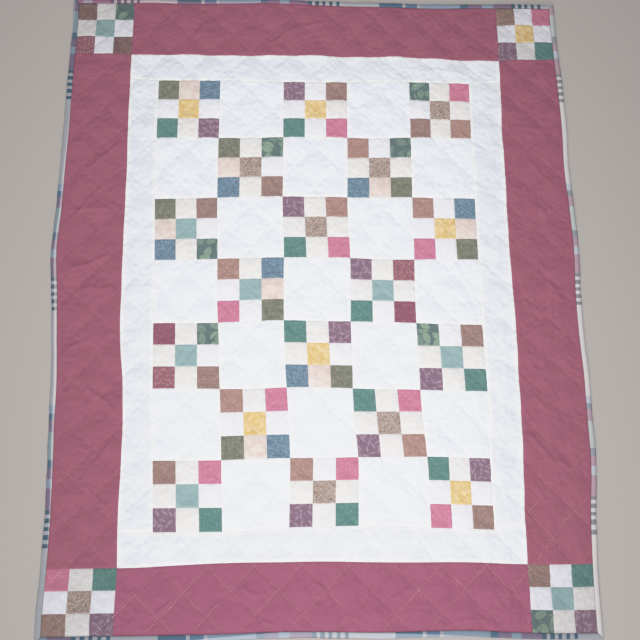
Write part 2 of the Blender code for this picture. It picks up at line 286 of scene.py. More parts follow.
view = bpy.context.scene.view_settings
view.view_transform = "Standard"
view.use_curve_mapping = True
view.curve_mapping.white_level = (FILM_WHITE, FILM_WHITE, FILM_WHITE)
film = view.curve_mapping.curves[3]
for place, value in FILM_CURVE[1:-1]:
    film.points.new(place, value)
film.points[len(FILM_CURVE) - 1].location = FILM_CURVE[-1]
view.curve_mapping.update()

world = bpy.data.worlds.new("studio")
world.use_nodes = True
sky = world.node_tree.nodes["Background"]
sky.inputs["Color"].default_value = SKY_COLOUR
sky.inputs["Strength"].default_value = SKY_STRENGTH
bpy.context.scene.world = world

for row in LIGHTS:
    lamp = bpy.data.lights.new(row["name"], "AREA")
    lamp.shape = "RECTANGLE"
    lamp.size, lamp.size_y = row["size"]
    lamp.energy = row["power"]
    light = place_object(row["name"], lamp)
    light.location = row["place"]
    light.rotation_euler = (-light.location).to_track_quat("-Z", "Y").to_euler()

floor_mesh = grid_mesh("floor", 1, 1, FLOOR_REACH)
floor_mesh.transform(Matrix.Translation((0, 0, -FLOOR_DROP)))
floor = place_object("floor", floor_mesh)
floor_paint, _, floor_shader = blank_material("pale floor")
floor_shader.inputs["Base Color"].default_value = linear(FLOOR_COLOUR)
floor_shader.inputs["Roughness"].default_value = 0.95
floor_mesh.materials.append(floor_paint)
print(len(LIGHTS), "lights, floor and camera set")

# %% [markdown]
# ## The quilted face
# The stitching runs in straight diagonals through the coloured squares and draws the layers
# together. Washing shrinks the filling and leaves the cloth a little too large, so it puffs up
# between the lines and puckers at them. That is what a cloth simulation does well: a square of
# cloth, two parts in a hundred too large, is pinned along its stitching lines, and the filling
# pushes it up. Its diamonds are then used all over the quilt, each turned or mirrored by chance.

# %% Thickness and stitching lines, in metres
STITCHED = 0.0030
THINNEST = 0.0015
LOFT = 0.0032
CALM_EDGE = 0.014
LINE_SPAN = 2 * SQUARE
LINE_WOBBLE = 0.0030
WOBBLE_WIDTH = 2.3 * SQUARE
NOISE_CELLS = 97


def ease(t):
    """A share from 0 to 1 that starts and ends gently."""
    return t * t * (3 - 2 * t)


def turned(u, v, angle):
    """Points read along and across a direction of the chart."""
    c, s = math.cos(angle), math.sin(angle)
    return c * u + s * v, c * v - s * u


def soft_noise(x, y, seed):
    """A smooth random field from -1 to 1 whose bumps are about one unit wide."""
    levels = np.random.default_rng(seed).uniform(-1, 1, (NOISE_CELLS, NOISE_CELLS))
    i, j = np.floor(x).astype(int), np.floor(y).astype(int)
    s, t = ease(x - i), ease(y - j)

    def corner(a, b):
        return levels[(i + a) % NOISE_CELLS, (j + b) % NOISE_CELLS]

    low = corner(0, 0) * (1 - s) + corner(1, 0) * s
    high = corner(0, 1) * (1 - s) + corner(1, 1) * s
    return low * (1 - t) + high * t


def wobble(u, v):
    """How far the hand-drawn quilting lines stray at a point of the chart."""
    at = u / WOBBLE_WIDTH, v / WOBBLE_WIDTH
    return LINE_WOBBLE * soft_noise(*at, seed=1), LINE_WOBBLE * soft_noise(*at, seed=2)


def off_lines(u, v):
    """Distance from the nearest line of each direction, 0 on it and 1 midway between two."""
    half = LINE_SPAN / 2
    rising = np.abs((u + v) % LINE_SPAN - half) / half
    falling = np.abs((u - v) % LINE_SPAN - half) / half
    return rising, falling

# %% A square of quilting, simulated as cloth
SIM_SPANS = 5
SIM_CELLS_PER_SPAN = 16
SIM_PITCH = LINE_SPAN / SIM_CELLS_PER_SPAN
SIM_CELLS = SIM_SPANS * SIM_CELLS_PER_SPAN
SIM_FRAMES = 30
SLACK = 0.02
FIRST_PUFF = 0.0015
FIRST_CRUMPLE = 0.0012
FILLING_PUSH = 5.0
CLOTH_STIFFNESS = 50.0
PIN_REACH = 0.75 * SIM_PITCH


def pinned_square():
    """A flat grid with a first rough puff between its pinned stitching lines."""
    size = SIM_CELLS * SIM_PITCH / 2
    mesh = grid_mesh("quilting square", SIM_CELLS, SIM_CELLS, size)
    place = numbers(mesh.vertices, "co", 3)
    rising, falling = off_lines(place[:, 0], place[:, 1])
    on_line = np.minimum(rising, falling) < PIN_REACH / (LINE_SPAN / 2)
    on_rim = np.abs(place[:, :2]).max(axis=1) > size - SIM_PITCH / 2
    pinned = on_line | on_rim
    rough = np.random.default_rng(seed=1).uniform(-FIRST_CRUMPLE, FIRST_CRUMPLE, len(place))
    place[:, 2] = np.where(pinned, 0, rough + FIRST_PUFF * rising * falling)
    write_numbers(mesh.vertices, "co", place)
    square = place_object("quilting square", mesh)
    pins = square.vertex_groups.new(name="stitching")
    pins.add(np.nonzero(pinned)[0].tolist(), 1.0, "REPLACE")
    return square


def simulated_heights():
    """The square's heights on its even grid, once the slack cloth has settled."""
    square = pinned_square()
    cloth = square.modifiers.new("cloth", "CLOTH")
    settings = cloth.settings
    settings.quality = 5
    settings.mass = 0.15
    settings.shear_stiffness = 5
    settings.bending_stiffness = CLOTH_STIFFNESS
    settings.air_damping = 5
    settings.vertex_group_mass = "stitching"
    settings.shrink_min = -SLACK
    settings.use_pressure = True
    settings.uniform_pressure_force = FILLING_PUSH
    cloth.collision_settings.use_collision = False
    cloth.point_cache.frame_end = SIM_FRAMES
    scene = bpy.context.scene
    scene.gravity = (0, 0, 0)
    for frame_number in range(1, SIM_FRAMES + 1):
        scene.frame_set(frame_number)
    settled = square.evaluated_get(bpy.context.evaluated_depsgraph_get()).to_mesh()
    start, end = numbers(square.data.vertices, "co", 3), numbers(settled.vertices, "co", 3)
    i, j = np.rint(start[:, :2].T / SIM_PITCH).astype(int) + SIM_CELLS // 2
    heights = np.zeros((SIM_CELLS + 1, SIM_CELLS + 1))
    heights[i, j] = end[:, 2]
    bpy.data.objects.remove(square)
    scene.frame_set(1)
    return heights


SQUARE_HEIGHTS = simulated_heights()
print("simulated puffs up to", round(1000 * SQUARE_HEIGHTS.max(), 1), "mm")

# %% Its diamonds, dealt out over the quilt
FULLNESS = (0.75, 1.15)
DIAMONDS = [
    (m, n)
    for m in range(-SIM_SPANS, SIM_SPANS)
    for n in range(-SIM_SPANS, SIM_SPANS)
    if max(abs(m + n + 2), abs(m - n)) <= SIM_SPANS - 1
]


def smooth_weights(t):
    """The four weights of a smooth curve through even points, at a share t past the second."""
    return (
        t * (-0.5 + t * (1 - 0.5 * t)),
        1 + t * t * (-2.5 + 1.5 * t),
        t * (0.5 + t * (2 - 1.5 * t)),
        t * t * (-0.5 + 0.5 * t),
    )


def read_smoothly(grid, x, y):
    """A grid of values read at places counted in cells, without facets."""
    i = np.clip(np.floor(x).astype(int), 1, len(grid) - 3)
    j = np.clip(np.floor(y).astype(int), 1, len(grid) - 3)
    value = 0.0
    for a, weight_x in enumerate(smooth_weights(x - i)):
        for b, weight_y in enumerate(smooth_weights(y - j)):
            value = value + weight_x * weight_y * grid[i + a - 1, j + b - 1]
    return value


def puffs(u, v):
    """The height of the puffed cloth: 0 on the stitching, each diamond one of the simulated."""
    rising = (u + v) / LINE_SPAN - 0.5
    falling = (u - v) / LINE_SPAN - 0.5
    row, column = np.floor(rising).astype(int), np.floor(falling).astype(int)
    a, b = rising - row, falling - column
    row, column = row % NOISE_CELLS, column % NOISE_CELLS
    deal = np.random.default_rng(seed=3)
    cards = deal.integers(0, len(DIAMONDS), (NOISE_CELLS, NOISE_CELLS))[row, column]
    mirror_a, mirror_b, swap = deal.integers(0, 2, (3, NOISE_CELLS, NOISE_CELLS))[:, row, column]
    fullness = deal.uniform(*FULLNESS, (NOISE_CELLS, NOISE_CELLS))[row, column]
    a, b = np.where(mirror_a, 1 - a, a), np.where(mirror_b, 1 - b, b)
    a, b = np.where(swap, b, a), np.where(swap, a, b)
    from_row, from_column = np.array(DIAMONDS)[cards].T + 0.5
    half = SIM_CELLS_PER_SPAN / 2
    x = (a + from_row + b + from_column) * half + SIM_CELLS / 2
    y = (a + from_row - b - from_column) * half + SIM_CELLS / 2
    return fullness * read_smoothly(SQUARE_HEIGHTS, x, y)


half_span, centre = SIM_CELLS_PER_SPAN // 2, SIM_CELLS // 2
middles = [
    SQUARE_HEIGHTS[centre + half_span * (m + n + 2), centre + half_span * (m - n)]
    for m, n in DIAMONDS
]
PUFF_SCALE = LOFT / np.mean(middles)
print(len(DIAMONDS), "diamonds, about", round(1000 * np.mean(middles), 1), "mm high before scaling")

# %% Puckers that cross the stitching, and the crumple of washed cloth
GROOVE_DEPTH = 0.0006
GROOVE_WIDTH = 0.0030
PUCKER_HEIGHT = 0.0006
PUCKER_WIDTH = 0.0085
PUCKER_LENGTH = 0.030
CRUMPLES = table("width height turn seed", [
    (0.060, 0.0004, 0.3, 11),
    (0.022, 0.00018, 1.1, 12),
    (0.010, 0.00008, 2.0, 13),
])


def puckers(u, v):
    """Short wrinkles across both directions of stitching, strongest at the thread."""
    rising, falling = off_lines(u, v)
    with_line, across = (u - v) / math.sqrt(2), (u + v) / math.sqrt(2)
    first = soft_noise(with_line / PUCKER_WIDTH, across / PUCKER_LENGTH, seed=21)
    second = soft_noise(across / PUCKER_WIDTH, with_line / PUCKER_LENGTH, seed=22)
    return PUCKER_HEIGHT * (first * (1 - rising) ** 2 + second * (1 - falling) ** 2)


def ridged(along, across, seed):
    """Noise with sharp crests and broad troughs, from -1 to 1."""
    return 1 - 2 * np.abs(soft_noise(along, across, seed))


def crumple(u, v):
    """Ridged bumps of several widths, each layer turned so that none follows the chart."""
    height = 0.0
    for layer in CRUMPLES:
        along, across = turned(u / layer["width"], v / layer["width"], layer["turn"])
        height = height + layer["height"] * ridged(along, across, layer["seed"])
    return height

# %% Wrinkles of the plain squares: each lies its own way, turned in degrees, height in mm
PLAIN_WRINKLES = table("row column turn height", [
    (1, 2, 65, 0.10),
    (1, 4, -38, 0.22),
    (2, 1, 12, 0.10),
    (2, 3, -6, 0.17),
    (2, 5, -62, 0.11),
    (3, 2, -14, 0.17),
    (3, 4, 84, 0.16),
    (4, 1, 80, 0.13),
    (4, 3, 40, 0.10),
    (4, 5, -42, 0.20),
    (5, 2, 86, 0.11),
    (5, 4, -36, 0.18),
    (6, 1, -48, 0.09),
    (6, 3, -34, 0.16),
    (6, 5, -58, 0.23),
    (7, 2, 88, 0.09),
    (7, 4, -45, 0.11),
])
WRINKLE_WIDTH = 0.0080
WRINKLE_LENGTH = 0.050
WRINKLE_REACH = 0.62
WRINKLE_SEED = 40


def plain_wrinkles(u, v):
    """Long shallow wrinkles over each plain square, fading out past its seams."""
    height = 0.0
    for k, block in enumerate(PLAIN_WRINKLES):
        middle_u, middle_v = block_middle(block["row"], block["column"])
        off = np.maximum(np.abs(u - middle_u), np.abs(v - middle_v)) / (WRINKLE_REACH * BLOCK)
        along, across = turned(u, v, math.radians(block["turn"]))
        waves = ridged(along / WRINKLE_LENGTH, across / WRINKLE_WIDTH, WRINKLE_SEED + k)
        height = height + np.clip(1 - off**4, 0, 1) * block["height"] * MM * waves
    return height

# %% [markdown]
# ## Creases
# The sewn quilt lies with a few long folds that no noise would put in the right place, so their
# paths are listed one by one, in squares off the middle. Each is a low ridge that is steep towards
# the head end, away from the light, and shows as a thin dark line, as in the photograph.

# %% Creases: a path in squares off the middle, then height and width in mm
CREASES = table("path height width", [
    ([(9.3, -4.6), (10.0, -5.6)], 1.3, 4),
    ([(9.0, -6.4), (9.7, -7.3), (10.2, -8.0)], 2.2, 5),
    ([(10.2, -7.7), (10.9, -8.3)], 1.7, 4),
    ([(6.5, -4.8), (6.7, -5.6), (6.9, -5.9)], 1.1, 4),
    ([(6.9, -4.8), (7.1, -5.6)], 0.7, 4),
    ([(7.7, -6.1), (8.1, -7.1)], 1.0, 5),
    ([(7.9, -3.5), (8.4, -5.8)], 0.7, 7),
    ([(8.2, -5.4), (8.7, -6.4)], 0.8, 5),
    ([(7.6, 1.3), (8.3, 0.5)], 1.1, 4),
    ([(5.1, -0.3), (6.1, -1.2)], 0.8, 4),
    ([(6.2, 1.1), (6.8, 0.3), (7.3, -0.2)], 0.7, 5),
    ([(7.7, 3.5), (8.4, 2.5)], 0.7, 5),
    ([(5.0, -6.5), (5.3, -7.2)], 0.8, 4),
    ([(3.7, -8.1), (4.0, -8.7)], 0.8, 4),
    ([(10.5, 11.1), (10.8, 10.0)], 1.3, 5),
    ([(9.3, 8.2), (10.8, 8.0)], 1.2, 5),
    ([(9.9, 6.6), (11.1, 5.1)], 1.4, 5),
    ([(10.3, 4.1), (10.9, 2.9)], 1.3, 5),
    ([(9.3, -0.4), (10.2, -1.2)], 1.4, 5),
    ([(10.4, 0.5), (11.1, -0.6)], 1.7, 4),
    ([(10.8, -0.5), (10.8, -2.1)], 1.5, 5),
    ([(-11.3, 3.9), (-9.4, 4.0)], 1.4, 5),
    ([(-11.2, 1.1), (-10.1, 1.4), (-9.4, 1.8)], 2.7, 5),
    ([(-11.2, 3.4), (-10.4, 4.6), (-9.4, 5.6)], 1.8, 5),
    ([(-10.6, 0.2), (-9.0, 0.2)], 1.3, 4),
    ([(-8.6, 0.3), (-7.6, 0.2)], 0.7, 4),
    ([(-10.7, -0.5), (-10.7, -1.5)], 1.8, 5),
    ([(-11.2, -2.5), (-10.5, -2.2)], 1.9, 4),
    ([(-10.7, -3.2), (-10.3, -4.4), (-9.5, -5.0), (-9.1, -5.6)], 2.7, 5),
    ([(-11.4, -4.5), (-10.9, -4.3)], 1.6, 4),
    ([(-9.9, -7.5), (-9.2, -6.5)], 1.9, 5),
    ([(-10.4, -8.4), (-9.2, -9.6)], 1.6, 6),
    ([(-10.8, 5.8), (-9.1, 7.3)], 2.0, 5),
    ([(-11.5, 7.2), (-10.9, 7.3)], 1.6, 4),
    ([(-7.6, 11.0), (-6.9, 11.5), (-6.2, 11.3)], 0.7, 5),
    ([(-4.1, 10.9), (-3.4, 11.4), (-2.9, 11.2), (-2.4, 10.8)], 0.9, 5),
    ([(-1.9, 11.2), (-1.3, 11.5), (-0.9, 11.2), (-0.4, 10.7)], 0.7, 5),
    ([(3.0, 11.3), (3.5, 11.5), (4.3, 10.6)], 0.8, 5),
    ([(4.9, 11.0), (6.0, 11.3), (7.5, 11.0), (8.6, 9.9)], 1.1, 5),
    ([(6.6, 10.2), (7.6, 10.1), (8.8, 10.0)], 0.6, 4),
    ([(1.9, 8.8), (2.4, 8.5)], 0.7, 4),
    ([(2.1, 10.1), (2.9, 9.5), (3.4, 9.1)], 0.6, 5),
    ([(-5.2, 14.2), (-5.3, 13.5), (-5.8, 12.8)], 1.4, 5),
    ([(-2.2, 12.4), (-0.8, 13.4), (0.8, 13.8)], 1.7, 6),
    ([(0.8, 12.3), (1.7, 13.5)], 1.3, 5),
    ([(4.2, 14.2), (3.8, 12.6)], 1.3, 5),
    ([(5.0, 13.7), (5.7, 12.5)], 1.3, 5),
    ([(-3.2, 13.1), (-2.2, 13.6)], 1.1, 4),
    ([(-7.1, -13.9), (-6.9, -13.6), (-6.4, -13.2)], 2.4, 4),
    ([(-5.0, -13.9), (-4.4, -13.3)], 2.2, 4),
    ([(-3.6, -12.8), (-3.0, -13.1), (-2.5, -13.1)], 1.8, 4),
    ([(-0.5, -12.6), (0.1, -13.1)], 1.8, 4),
    ([(2.5, -13.4), (3.1, -13.2), (3.8, -12.7)], 2.2, 4),
    ([(5.2, -14.4), (6.0, -14.2), (7.0, -14.2)], 1.6, 4),
    ([(-2.8, -14.2), (-2.1, -14.4)], 1.6, 4),
    ([(-8.3, 4.5), (-8.2, -7.5)], 1.0, 9),
    ([(8.3, 10.0), (8.4, -6.0)], 0.6, 9),
    ([(10.8, 3.0), (10.3, -3.5)], 1.2, 11),
    ([(-10.6, -2.5), (-10.1, 3.5)], 1.2, 11),
    ([(6.2, -5.2), (8.2, -8.4)], 0.8, 10),
    ([(-7.5, 10.4), (8.0, 10.5)], 0.5, 10),
])
CREASE_WANDER = 0.0022
WANDER_WIDTH = 0.017
CREASE_SHARPNESS = 0.62
EASY_SIDE = 2.5


def beside_path(u, v, path):
    """How far points lie to the left of a path of straight runs, and 0 to 1 in from its ends."""
    corners = np.array(path) * SQUARE
    runs = np.diff(corners, axis=0)
    lengths = np.hypot(*runs.T)
    nearest, signed, share, before = 9.0 + 0 * u, 9.0 + 0 * u, 0 * u, 0.0
    for corner, run, length in zip(corners, runs, lengths):
        from_u, from_v = u - corner[0], v - corner[1]
        t = np.clip((from_u * run[0] + from_v * run[1]) / length**2, 0, 1)
        off_u, off_v = from_u - t * run[0], from_v - t * run[1]
        off = np.hypot(off_u, off_v)
        side = np.where(run[0] * off_v < run[1] * off_u, -1, 1)
        closer = off < nearest
        nearest = np.where(closer, off, nearest)
        signed = np.where(closer, side * off, signed)
        share = np.where(closer, (before + t * length) / lengths.sum(), share)
        before += length
    return signed, 1 - (2 * share - 1) ** 4


def creases(u, v):
    """A ridge along each path, steep on the side of the head end and easy on the other."""
    wander = CREASE_WANDER * soft_noise(u / WANDER_WIDTH, v / WANDER_WIDTH, seed=8)
    height = 0.0
    for crease in CREASES:
        (first_u, _), *_, (last_u, _) = crease["path"]
        off, inside = beside_path(u, v, crease["path"])
        upward = (off + wander) * (1 if last_u > first_u else -1)
        width = crease["width"] * CREASE_SHARPNESS * MM * np.where(upward > 0, 1, EASY_SIDE)
        height = height + crease["height"] * MM * inside * np.exp(-((upward / width) ** 2))
    return height


def cloth_height(u, v):
    """The height of the quilt's face above the floor, seams apart."""
    edge = np.minimum(OUTER_U - np.abs(u), OUTER_V - np.abs(v))
    calm = ease(np.clip(edge / CALM_EDGE, 0, 1))
    stray_u, stray_v = wobble(u, v)
    drawn = puckers(u + stray_u, v + stray_v)
    near = np.minimum(*off_lines(u + stray_u, v + stray_v)) * LINE_SPAN / 2
    drawn = drawn - GROOVE_DEPTH * np.exp(-((near / GROOVE_WIDTH) ** 2))
    loose = PUFF_SCALE * puffs(u + stray_u, v + stray_v) + drawn
    loose = loose + crumple(u, v) + plain_wrinkles(u, v) + creases(u, v)
    return np.maximum(STITCHED + calm * loose, THINNEST)


sample = np.linspace(-FIELD_U, FIELD_U, 200)
heights = cloth_height(*np.meshgrid(sample, sample))
print("face from", round(1000 * heights.min(), 2), "to", round(1000 * heights.max(), 2), "mm high")

# %% [markdown]
# ## Cotton
# Every cloth is plain-woven cotton: threads that pass over and under each other about 0.4 mm
# apart. The weave is a product of two sines, which costs next to nothing, and it is a node group
# because all the cloths share it. It gives a height for the bump and a shade for the colour.

# %% Small helpers for node trees
def new_group(name, inputs, outputs, kind="ShaderNodeTree"):
    """A node group with named sockets of the kinds Float, Vector or Geometry."""
    tree = bpy.data.node_groups.new(name, kind)
    for way, sockets in (("INPUT", inputs), ("OUTPUT", outputs)):
        for label, socket in sockets.items():
            tree.interface.new_socket(label, in_out=way, socket_type=f"NodeSocket{socket}")
    return tree, tree.nodes.new("NodeGroupInput"), tree.nodes.new("NodeGroupOutput")


def fill(tree, node, inputs):
    """Gives each input a value, or a link from another node's output."""
    for slot, value in inputs.items():
        if isinstance(value, bpy.types.NodeSocket):
            tree.links.new(value, node.inputs[slot])
        else:
            node.inputs[slot].default_value = value


def add_node(tree, kind, inputs, **settings):
    """A new node, set up and with its inputs filled."""
    node = tree.nodes.new(kind)
    for label, value in settings.items():
        setattr(node, label, value)
    fill(tree, node, inputs)
    return node


def math_node(tree, operation, *values, clamp=False):
    """The output of a Math node."""
    inputs = dict(enumerate(values))
    return add_node(tree, "ShaderNodeMath", inputs, operation=operation, use_clamp=clamp).outputs[0]


def vector_math(tree, operation, inputs):
    """The output of a Vector Math node."""
    return add_node(tree, "ShaderNodeVectorMath", inputs, operation=operation).outputs[0]


def mix_colour(tree, share, first, second):
    """A mix of two colours."""
    inputs = {0: share, 6: first, 7: second}
    return add_node(tree, "ShaderNodeMix", inputs, data_type="RGBA").outputs[2]


def split_up(tree, value, kind="XYZ"):
    """The parts of a vector or a colour."""
    return add_node(tree, f"ShaderNodeSeparate{kind}", {0: value}).outputs


def noise(tree, vector, scale, detail=2.0, roughness=0.5, distortion=0.0):
    """The grey value of a Noise Texture."""
    inputs = {"Vector": vector, "Scale": scale, "Detail": detail}
    inputs |= {"Roughness": roughness, "Distortion": distortion}
    return add_node(tree, "ShaderNodeTexNoise", inputs).outputs["Fac"]


def ramp(tree, value, low, high):
    """A value brought from low..high to 0..1, clamped and eased."""
    inputs = {"Value": value, "From Min": low, "From Max": high}
    return add_node(tree, "ShaderNodeMapRange", inputs, interpolation_type="SMOOTHSTEP").outputs[0]

# %% Weave
THREAD = 0.00042
THREAD_SHADE = 0.035
SLUB_SCALE = 900.0


def build_weave():
    """Over-and-under threads: a height for the bump and a shade for the colour."""
    outputs = {"Height": "Float", "Shade": "Float"}
    tree, start, end = new_group("cotton weave", {"Cloth": "Vector"}, outputs)
    across, along, _ = split_up(tree, start.outputs["Cloth"])
    turns = math.pi / THREAD
    warp = math_node(tree, "SINE", math_node(tree, "MULTIPLY", across, turns))
    weft = math_node(tree, "SINE", math_node(tree, "MULTIPLY", along, turns))
    crossing = math_node(tree, "MULTIPLY", warp, weft)
    slub = noise(tree, start.outputs["Cloth"], SLUB_SCALE)
    height = math_node(tree, "MULTIPLY_ADD", crossing, 0.5, slub)
    shade = math_node(tree, "MULTIPLY_ADD", crossing, THREAD_SHADE, 1.0)
    fill(tree, end, {"Height": height, "Shade": shade})
    return tree


WEAVE = build_weave()
print("weave of", THREAD * 1000, "mm threads")

# %% [markdown]
# ## Prints
# The coloured squares are cut from small calico prints. Each kind of motif is a group that puts
# out a mask: specks, mottling, scribble, sprigs and leaves. A print is then a ground colour, a
# motif colour and a mask. They read the piece's own UV map, which is in metres on the cloth, so
# that a print runs at its real size and every square shows another part of it.

# %% What every motif starts with
def motif_group(name, inputs=(), outputs=("Mask",)):
    """A motif's group, and the place on the cloth counted in motif sizes."""
    inputs = {"Cloth": "Vector", **dict.fromkeys(("Size", *inputs), "Float")}
    tree, start, end = new_group(name, inputs, dict.fromkeys(outputs, "Float"))
    place = vector_math(tree, "DIVIDE", {0: start.outputs["Cloth"], 1: start.outputs["Size"]})
    return tree, start, end, place

# %% Specks: fine dots, some left out
def build_specks():
    tree, _, end, place = motif_group("specks")
    spots = add_node(tree, "ShaderNodeTexVoronoi", {"Vector": place, "Scale": 1.0})
    near = ramp(tree, spots.outputs["Distance"], low=0.50, high=0.30)
    kept = math_node(tree, "GREATER_THAN", split_up(tree, spots.outputs["Color"], "Color")[0], 0.25)
    fill(tree, end, {"Mask": math_node(tree, "MULTIPLY", near, kept)})
    return tree

# %% Mottle: soft blotches
def build_mottle():
    tree, _, end, place = motif_group("mottle")
    blotch = noise(tree, place, scale=0.55, detail=3.0, roughness=0.6, distortion=0.8)
    fill(tree, end, {"Mask": ramp(tree, blotch, low=0.38, high=0.62)})
    return tree

# %% Scribble: one fine wandering line
def build_scribble():
    tree, _, end, place = motif_group("scribble")
    field = noise(tree, place, scale=0.5, detail=1.0, roughness=0.5, distortion=0.6)
    bands = math_node(tree, "PINGPONG", math_node(tree, "MULTIPLY", field, 6.0), 0.5)
    fill(tree, end, {"Mask": ramp(tree, bands, low=0.30, high=0.16)})
    return tree

# %% Sprigs: pointed ovals, one to a cell, each turned its own way
def build_sprigs():
    tree, start, end, place = motif_group("sprigs", ("Length", "Width"), ("Mask", "Vein", "Chance"))
    inputs = {"Vector": place, "Scale": 1.0, "Randomness": 0.75}
    cells = add_node(tree, "ShaderNodeTexVoronoi", inputs).outputs
    away = vector_math(tree, "SUBTRACT", {0: place, 1: cells["Position"]})
    chance = split_up(tree, cells["Color"], "Color")
    inputs = {"Vector": away, "Angle": math_node(tree, "MULTIPLY", chance[0], 2 * math.pi)}
    facing = add_node(tree, "ShaderNodeVectorRotate", inputs, rotation_type="Z_AXIS").outputs[0]
    along, side, _ = split_up(tree, facing)
    along = math_node(tree, "DIVIDE", along, start.outputs["Length"])
    side = math_node(tree, "DIVIDE", side, start.outputs["Width"])
    side = math_node(tree, "ABSOLUTE", side)
    room = math_node(tree, "SUBTRACT", 1.0, math_node(tree, "MULTIPLY", along, along))
    mask = ramp(tree, math_node(tree, "SUBTRACT", room, side), low=-0.08, high=0.30)
    fill(tree, end, {"Mask": mask, "Vein": ramp(tree, side, low=0.14, high=0.05), "Chance": chance[1]})
    return tree


MOTIFS = {
    "specks": build_specks(),
    "mottle": build_mottle(),
    "scribble": build_scribble(),
    "sprigs": build_sprigs(),
}
print("motifs:", ", ".join(MOTIFS))

# %% The cloths, as display colours and motif sizes in mm
CLOTHS = {row.pop("cloth"): row for row in table("cloth ground motif kind size", [
    ("white", (231, 235, 247), (227, 231, 244), "mottle", 18),
    ("border white", (225, 228, 237), (221, 224, 234), "mottle", 18),
    ("pale", (233, 232, 240), (227, 226, 235), "mottle", 7),
    ("cream", (230, 226, 224), (223, 219, 216), "mottle", 8),
    ("mist", (212, 211, 218), (205, 204, 212), "mottle", 7),
    ("oat", (192, 187, 187), (202, 198, 198), "mottle", 5),
    ("blush", (223, 218, 218), (229, 225, 225), "mottle", 7),
    ("peach", (214, 193, 186), (224, 208, 201), "mottle", 10),
    ("wine", (148, 86, 105), (145, 84, 103), "mottle", 25),
    ("foot wine", (149, 85, 108), (146, 83, 106), "mottle", 25),
    ("olive", (109, 109, 98), (126, 126, 113), "mottle", 5),
    ("leaf", (93, 110, 110), (133, 153, 135), "leaves", 27),
    ("green", (87, 123, 118), (108, 138, 134), "specks", 3.2),
    ("blue", (96, 119, 138), (138, 157, 171), "specks", 2.6),
    ("plum", (126, 101, 118), (150, 126, 142), "sprigs", 15),
    ("claret", (141, 95, 105), (170, 126, 135), "dashes", 11),
    ("maroon", (135, 84, 101), (175, 136, 148), "flecks", 18),
    ("brown", (142, 115, 109), (156, 130, 125), "specks", 5),
    ("rust", (157, 124, 117), (171, 139, 133), "specks", 5),
    ("pink", (191, 115, 139), (199, 129, 151), "specks", 5),
    ("tan", (185, 169, 160), (119, 96, 87), "scribble", 2.6),
    ("gold", (214, 177, 113), (224, 197, 149), "mottle", 6),
    ("umber", (109, 86, 87), (121, 97, 93), "mottle", 9),
    ("teal", (135, 162, 164), (142, 167, 168), "mottle", 8),
])}
# The corner blocks' prints get a little darker copies: painted shade for the light that falls off
# towards the quilt's corners
CORNER_SHADE_FACTOR = 0.91
for name in ("pink", "gold", "plum", "green", "brown", "tan", "teal", "leaf", "claret"):
    facts = CLOTHS[name]
    corner_shaded_colours = {part: tuple(round(CORNER_SHADE_FACTOR * level) for level in facts[part]) for part in ("ground", "motif")}
    CLOTHS[f"deep {name}"] = {**facts, **corner_shaded_colours}
COLOURED = set(CLOTHS) - {"white", "border white", "pale", "cream", "mist", "oat", "blush", "peach"}
SPRIG_SHAPES = {
    "leaves": {"Length": 0.62, "Width": 0.34},
    "sprigs": {"Length": 0.60, "Width": 0.20},
    "dashes": {"Length": 0.42, "Width": 0.13},
    "flecks": {"Length": 0.13, "Width": 0.04},
}
LEAF_VEIN = 0.35
LEAF_DEPTH = (0.75, 0.35)
ALLOWANCE_COLOUR = (247, 244, 238)
ALLOWANCE_SHARE = 0.45
WEAVE_BUMP = 0.00012


def start_cloth(name):
    """A material with a matt shader, its bump from the weave, and the cloth's UV map."""
    material, tree, shader = blank_material(name)
    cloth = add_node(tree, "ShaderNodeUVMap", {}, uv_map="Cloth").outputs[0]
    weave = add_node(tree, "ShaderNodeGroup", {"Cloth": cloth}, node_tree=WEAVE).outputs
    inputs = {"Strength": 0.6, "Distance": WEAVE_BUMP, "Height": weave["Height"]}
    bump = add_node(tree, "ShaderNodeBump", inputs).outputs[0]
    finish = {"Roughness": 0.88, "Specular IOR Level": 0.25, "Normal": bump}
    fill(tree, shader, finish | {"Sheen Weight": 0.12, "Sheen Roughness": 0.55})
    return material, tree, cloth, weave["Shade"]


def finish_cloth(material, colour, shade):
    """The colour, shaded by the threads, goes to the shader."""
    tree = material.node_tree
    shaded = vector_math(tree, "SCALE", {0: colour, "Scale": shade})
    fill(tree, tree.nodes["Principled BSDF"], {"Base Color": shaded})
    return material


def printed_cotton(name, facts):
    """One printed cloth: motif over ground, and on white the seam allowances showing through."""
    material, tree, cloth, shade = start_cloth(f"{name} cotton")
    kind = facts["kind"]
    group = MOTIFS["sprigs" if kind in SPRIG_SHAPES else kind]
    inputs = {"Cloth": cloth, "Size": facts["size"] * MM, **SPRIG_SHAPES.get(kind, {})}
    motif = add_node(tree, "ShaderNodeGroup", inputs, node_tree=group).outputs
    mask = motif["Mask"]
    if kind == "leaves":
        vein = math_node(tree, "MULTIPLY", motif["Vein"], LEAF_VEIN)
        mask = math_node(tree, "SUBTRACT", mask, vein, clamp=True)
        depth = math_node(tree, "MULTIPLY_ADD", motif["Chance"], *LEAF_DEPTH)
        mask = math_node(tree, "MULTIPLY", mask, depth)
    colour = mix_colour(tree, mask, linear(facts["ground"]), linear(facts["motif"]))
    if "white" in name:
        band = add_node(tree, "ShaderNodeAttribute", {}, attribute_name="allowance").outputs["Fac"]
        share = math_node(tree, "MULTIPLY", band, ALLOWANCE_SHARE)
        colour = mix_colour(tree, share, colour, linear(ALLOWANCE_COLOUR))
    return finish_cloth(material, colour, shade)


MATERIALS = {name: printed_cotton(name, facts) for name, facts in CLOTHS.items()}
print(len(MATERIALS), "cloths")

